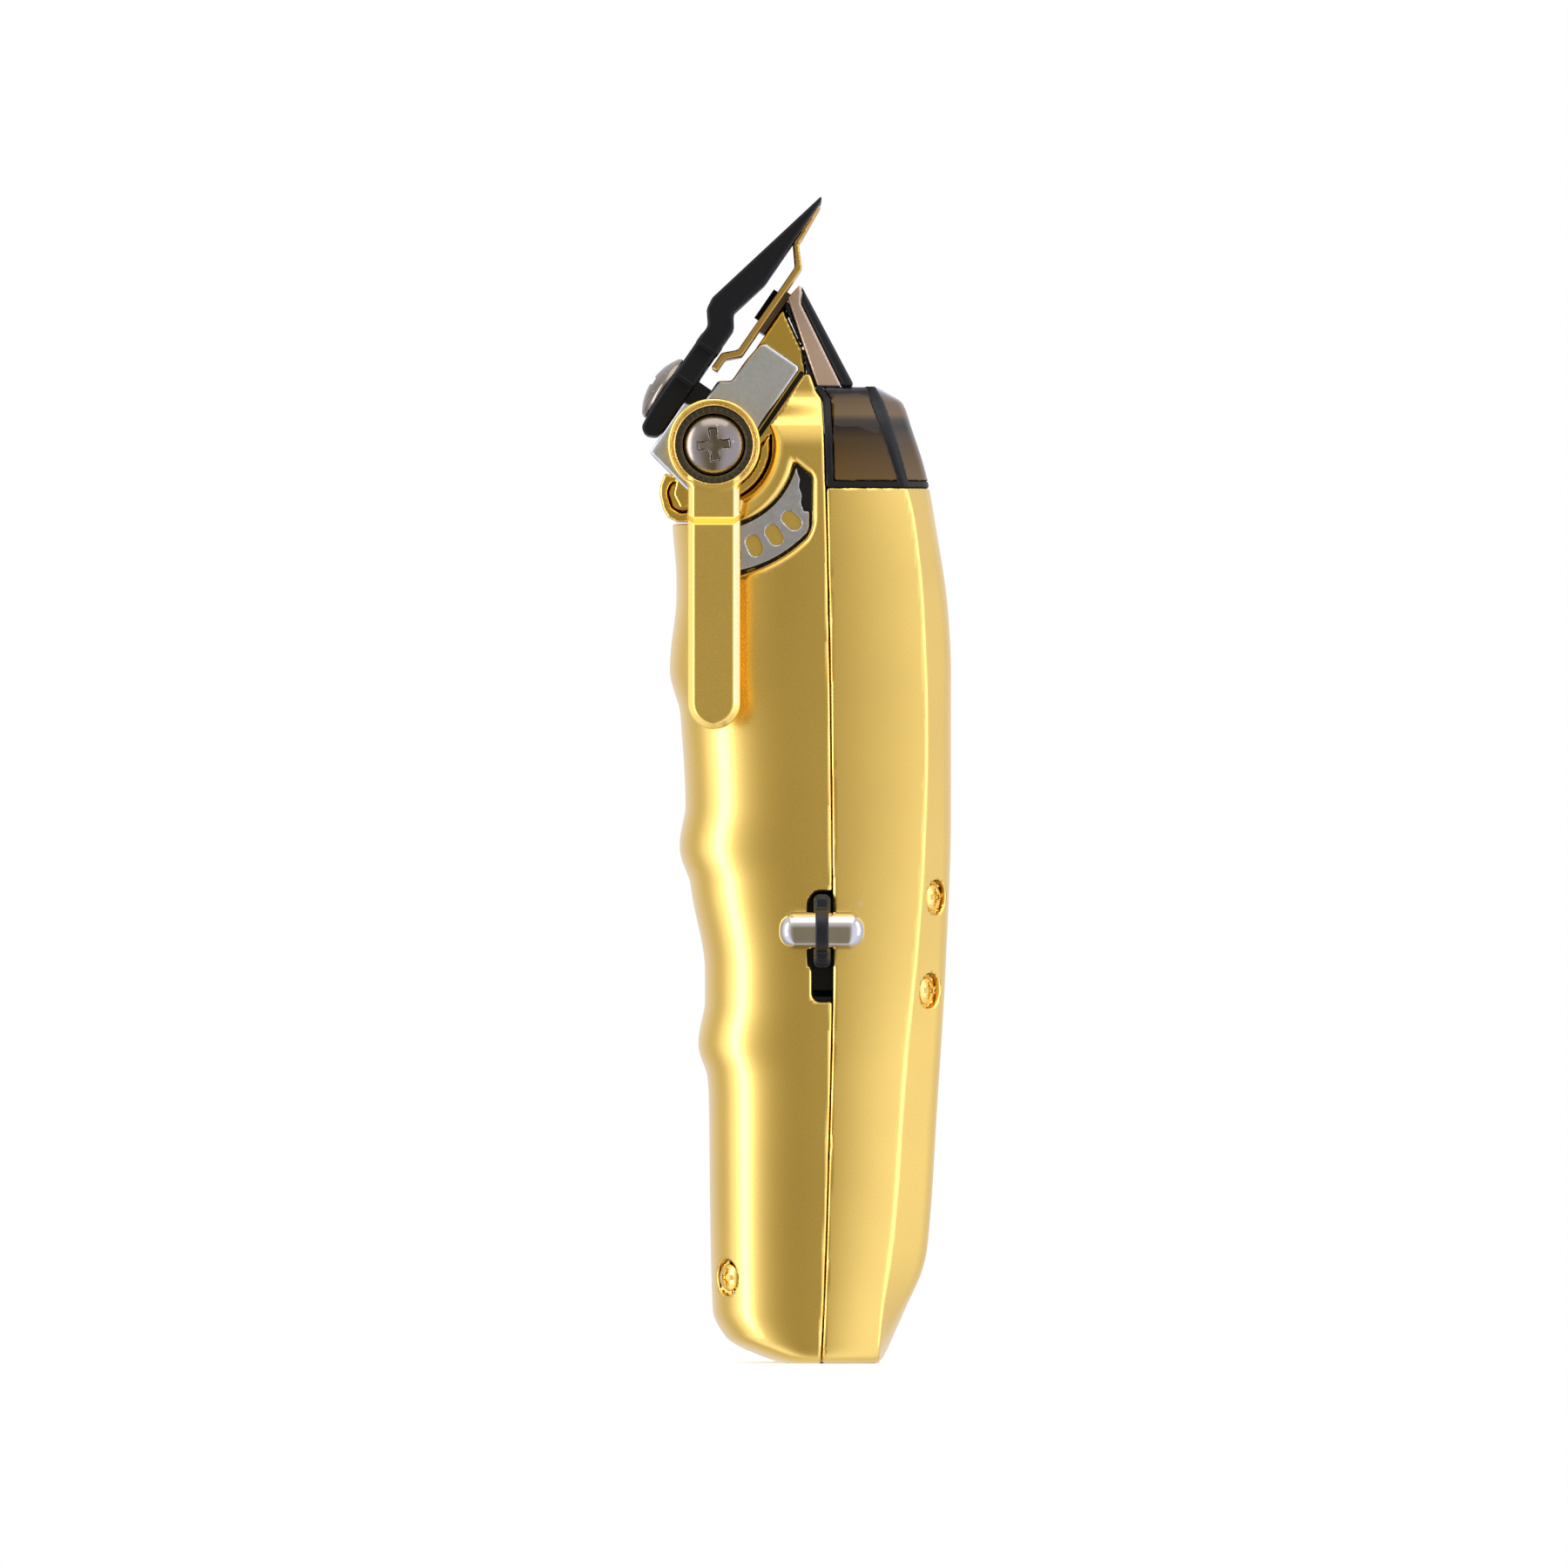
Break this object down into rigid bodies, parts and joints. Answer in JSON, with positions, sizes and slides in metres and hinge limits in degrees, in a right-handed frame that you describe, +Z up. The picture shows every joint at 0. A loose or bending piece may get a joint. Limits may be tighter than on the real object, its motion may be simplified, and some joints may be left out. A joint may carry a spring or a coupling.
{
  "type": "hair clipper",
  "caption": "Cordless hair clipper with a satin gold metal grip, side taper lever, slide switch, smoked drive window and an adjustable blade set on an angled head.",
  "frame": {"origin": "middle of the flat base that it stands on, on the centre plane of the body", "axes": "+Z up along the grip, -Y to the front with the blade face and finger bumps, +X to the taper lever side"},
  "size_m": [0.0502, 0.0468, 0.176],
  "materials": {
    "gold_satin": "satin gold plated metal",
    "gold_polished": "polished gold plated metal",
    "blade_black": "black coated steel, satin",
    "cutter_gold": "gold titanium coated steel",
    "bright_steel": "polished steel",
    "satin_steel": "satin steel",
    "dark_steel": "blackened steel",
    "black_plastic": "fine satin",
    "smoke_plastic": "tinted translucent plastic",
    "amber_window": "tinted clear plastic",
    "hood_bronze": "tinted translucent plastic",
    "gasket_rubber": "matte",
    "cell_wrap": "shrink sleeve over a metal can",
    "board_green": "solder mask",
    "chip_black": "moulded",
    "copper_windings": "laminations with copper windings",
    "magnet_grey": "sintered",
    "clear_lens": "clear",
    "white_plastic": "self-lubricating plastic"
  },
  "bodies": {
    "housing": {"front_shell": "gold_satin", "rear_shell": "gold_satin", "head_frame": "gold_polished", "drive_window": "amber_window", "window_gasket": "gasket_rubber", "nose_hood": "hood_bronze", "nose_hood_skin": "black_plastic", "base_plate": "black_plastic", "charge_inlet": "satin_steel", "charge_contacts": "gold_polished", "detent_plate": "satin_steel", "lever_screw": "bright_steel", "front_shell_screws": "bright_steel", "rear_shell_screws": "bright_steel", "indicator_lens": "clear_lens", "led": "clear_lens", "motor_can": "satin_steel", "motor_end_cap": "black_plastic", "motor_bearing": "bright_steel", "motor_mount": "dark_steel", "motor_magnets": "magnet_grey", "battery_cell": "cell_wrap", "battery_cradle": "black_plastic", "battery_tabs": "satin_steel", "main_board": "board_green", "board_components": "chip_black", "board_screws": "satin_steel", "switch_body": "chip_black", "switch_bezel": "black_plastic", "cutter_spring": "bright_steel"},
    "rotor": {"motor_shaft": "bright_steel", "eccentric_cam": "white_plastic", "motor_armature": "copper_windings"},
    "cutter_drive": {"moving_blade": "cutter_gold", "cutter_guide": "black_plastic", "drive_fork": "smoke_plastic"},
    "blade_carriage": {"blade_carrier": "satin_steel", "carrier_spacer": "black_plastic", "fixed_blade": "blade_black", "blade_screws": "dark_steel"},
    "lever": {"taper_lever": "gold_polished", "lever_cam": "gold_polished", "lever_lock_washer": "dark_steel", "detent_plunger": "bright_steel"},
    "power_switch": {"switch_slider": "black_plastic", "switch_barrel": "bright_steel"}
  },
  "joints": [
    {"name": "motor_spin", "type": "hinge", "parent": "housing", "child": "rotor", "pos_m": [0, -0.0046, 0.134], "axis": [0, 0, 1], "continuous": true},
    {"name": "blade_stroke", "type": "slide", "parent": "housing", "child": "cutter_drive", "axis": [1, 0, 0], "range_m": [-0.0013, 0.0013]},
    {"name": "taper_lever", "type": "hinge", "parent": "housing", "child": "lever", "pos_m": [0, -0.01949, 0.13864], "axis": [1, 0, 0], "range_deg": [0, 48]},
    {"name": "blade_height", "type": "slide", "parent": "housing", "child": "blade_carriage", "axis": [0, 0.5664, 0.8241], "range_m": [0, 0.0024]},
    {"name": "power_slide", "type": "slide", "parent": "housing", "child": "power_switch", "axis": [0, 0, -1], "range_m": [0, 0.0045]}
  ],
  "couplings": [
    {"joint": "blade_height", "follows": "taper_lever", "m_per_rad": 0.0028647}
  ]
}
